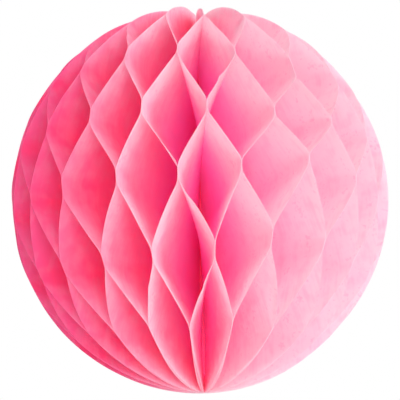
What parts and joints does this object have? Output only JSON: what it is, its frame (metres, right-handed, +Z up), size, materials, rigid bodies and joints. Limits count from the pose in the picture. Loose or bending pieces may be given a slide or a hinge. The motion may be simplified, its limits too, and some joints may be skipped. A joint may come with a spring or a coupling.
{
  "type": "honeycomb paper ball",
  "caption": "Round party decoration of half-round tissue leaves glued in alternate lines and fanned open into a ball of diamond cells.",
  "frame": {"origin": "middle of the ball, on its spine", "axes": "+Z up along the spine to the pole it hangs from, +Y to the seam where the end cards meet, -Y to the viewer"},
  "size_m": [0.1992, 0.1997, 0.1984],
  "materials": {
    "tissue": "matte pink tissue",
    "card": "matte pink card",
    "binding": "matte, glued and sewn"
  },
  "bodies": {
    "root": {"leaf_01": "tissue", "leaf_02": "tissue", "leaf_03": "tissue", "leaf_04": "tissue", "leaf_05": "tissue", "leaf_06": "tissue", "leaf_07": "tissue", "leaf_08": "tissue", "leaf_09": "tissue", "leaf_10": "tissue", "leaf_11": "tissue", "leaf_12": "tissue", "leaf_13": "tissue", "leaf_14": "tissue", "leaf_15": "tissue", "leaf_16": "tissue", "leaf_17": "tissue", "leaf_18": "tissue", "leaf_19": "tissue", "leaf_20": "tissue", "leaf_21": "tissue", "leaf_22": "tissue", "leaf_23": "tissue", "leaf_24": "tissue", "leaf_25": "tissue", "leaf_26": "tissue", "leaf_27": "tissue", "leaf_28": "tissue", "leaf_29": "tissue", "leaf_30": "tissue", "leaf_31": "tissue", "leaf_32": "tissue", "leaf_33": "tissue", "leaf_34": "tissue", "leaf_35": "tissue", "leaf_36": "tissue", "leaf_37": "tissue", "leaf_38": "tissue", "leaf_39": "tissue", "leaf_40": "tissue", "leaf_41": "tissue", "leaf_42": "tissue", "leaf_43": "tissue", "leaf_44": "tissue", "end_card_first": "card", "end_card_last": "card", "spine_binding": "binding"}
  },
  "joints": []
}
